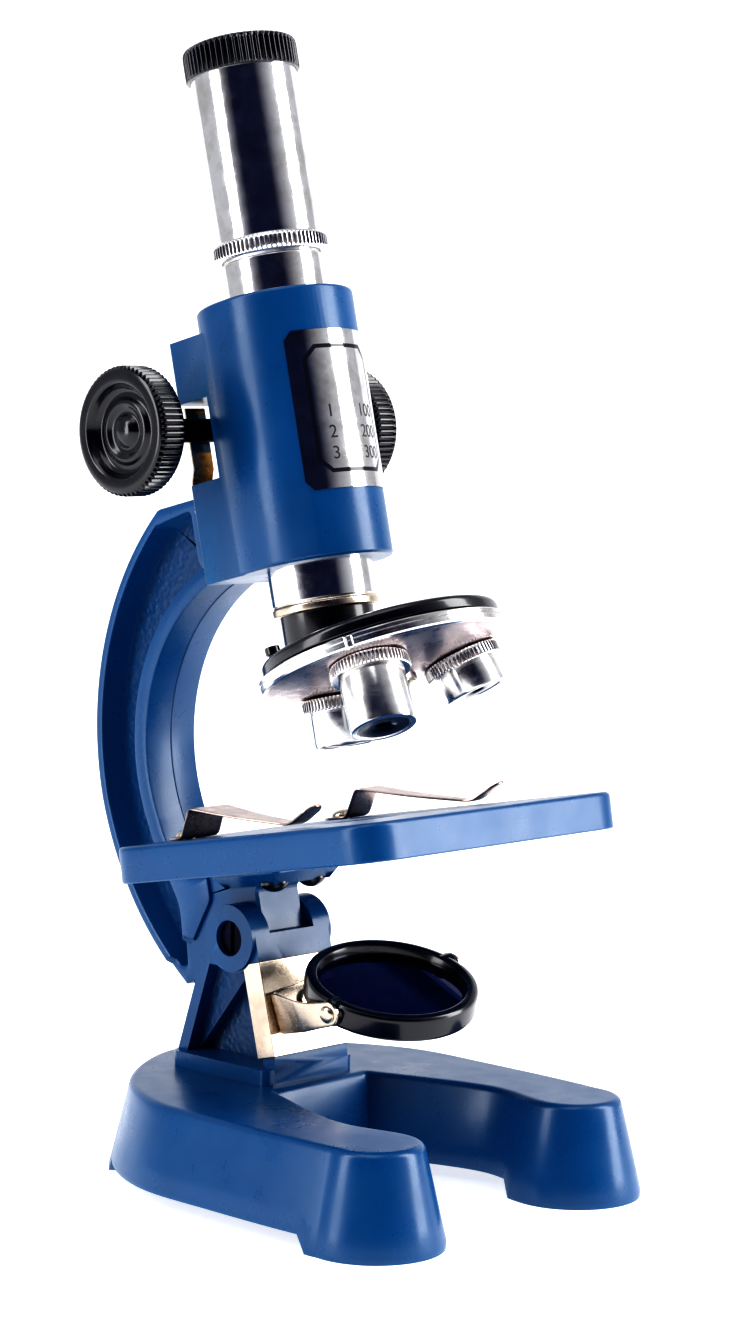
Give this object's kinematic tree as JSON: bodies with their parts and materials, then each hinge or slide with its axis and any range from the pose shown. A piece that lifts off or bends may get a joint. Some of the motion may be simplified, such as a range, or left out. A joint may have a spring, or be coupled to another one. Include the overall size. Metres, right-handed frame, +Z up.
{
  "type": "microscope",
  "caption": "Student microscope in blue plastic and chrome on a horseshoe foot, with a tilting arm, rack focus, lens turret, square stage with slide clips and a round mirror in a fork.",
  "frame": {"origin": "centre of the bounding box on the table", "axes": "+Z up, -Y the front with the toes and the stage, +X the side of the right-hand knob for someone at the eyepiece behind the arm"},
  "size_m": [0.079, 0.1102, 0.2133],
  "materials": {
    "blue_plastic": "gloss",
    "black_plastic": "satin",
    "chrome": "polished",
    "steel": "satin",
    "black_metal": "satin",
    "brass": "satin",
    "label_foil": "satin",
    "glass": "polished",
    "mirror": "polished"
  },
  "bodies": {
    "foot": {"base": "blue_plastic", "pillar": "blue_plastic", "pillar_screws": "steel", "axle_bolt": "steel", "axle_nut": "steel", "mirror_bracket": "steel", "fork_rivet": "steel"},
    "limb": {"arm": "blue_plastic", "stage": "blue_plastic", "stage_screws": "steel", "clip_rivets": "steel", "sleeve": "blue_plastic", "label_plate": "label_foil", "pinion_spring": "steel", "spring_screws": "steel"},
    "clip_left_body": {"clip_left": "steel"},
    "clip_right_body": {"clip_right": "steel"},
    "drive": {"pinion_shaft": "black_metal", "pinion": "brass", "knob_left": "black_plastic", "knob_right": "black_plastic"},
    "tube": {"body_tube": "chrome", "tube_end_ring": "chrome", "rack": "steel", "turret_body": "black_plastic", "turret_pivot": "chrome", "detent_spring": "steel", "detent_rivet": "steel"},
    "eyepiece": {"draw_tube": "chrome", "eyepiece_collar": "chrome", "eyepiece_tube": "chrome", "eyepiece_cap": "black_plastic", "eye_lens": "glass", "eye_lens_cell": "black_plastic", "field_lens": "glass", "field_lens_cell": "black_plastic"},
    "turret": {"turret_disc": "chrome", "objective_medium": "chrome", "objective_stop_medium": "black_metal", "objective_lens_medium": "glass", "objective_high": "chrome", "objective_stop_high": "black_metal", "objective_lens_high": "glass", "objective_low": "chrome", "objective_stop_low": "black_metal", "objective_lens_low": "glass"},
    "fork": {"mirror_fork": "steel", "mirror_pins": "steel"},
    "mirror": {"mirror_frame": "black_plastic", "mirror_glass": "mirror"}
  },
  "joints": [
    {"name": "arm_tilt", "type": "hinge", "parent": "foot", "child": "limb", "pos_m": [0, 0.01205, 0.0447], "axis": [-1, 0, 0], "range_deg": [-13.6, 26]},
    {"name": "focus_slide", "type": "slide", "parent": "limb", "child": "tube", "axis": [0, 0.2351, 0.972], "range_m": [-0.0075, 0.0065]},
    {"name": "pinion_spin", "type": "hinge", "parent": "limb", "child": "drive", "pos_m": [0, 0.02101, 0.1394], "axis": [1, 0, 0], "range_deg": [-103.5, 119.5]},
    {"name": "eyepiece_draw", "type": "slide", "parent": "tube", "child": "eyepiece", "axis": [0, 0.2351, 0.972], "range_m": [0, 0.022]},
    {"name": "turret_spin", "type": "hinge", "parent": "tube", "child": "turret", "pos_m": [0, -0.01749, 0.09912], "axis": [0, 0.4003, 0.9164], "continuous": true},
    {"name": "clip_left_swing", "type": "hinge", "parent": "limb", "child": "clip_left_body", "pos_m": [-0.0203, 0.0125, 0.06442], "axis": [0, 0.1788, 0.9839], "range_deg": [-20, 10]},
    {"name": "clip_right_swing", "type": "hinge", "parent": "limb", "child": "clip_right_body", "pos_m": [0.0203, 0.0125, 0.06442], "axis": [0, 0.1788, 0.9839], "range_deg": [-26, 4]},
    {"name": "mirror_swivel", "type": "hinge", "parent": "foot", "child": "fork", "pos_m": [0, 0.00244, 0.03271], "axis": [0, -0.9691, 0.2468], "range_deg": [-53, 37]},
    {"name": "mirror_tilt", "type": "hinge", "parent": "fork", "child": "mirror", "pos_m": [0, -0.02023, 0.03849], "axis": [0.99, 0.0348, 0.1365], "continuous": true}
  ],
  "couplings": [
    {"joint": "pinion_spin", "follows": "focus_slide", "rad_per_m": -277.78}
  ]
}
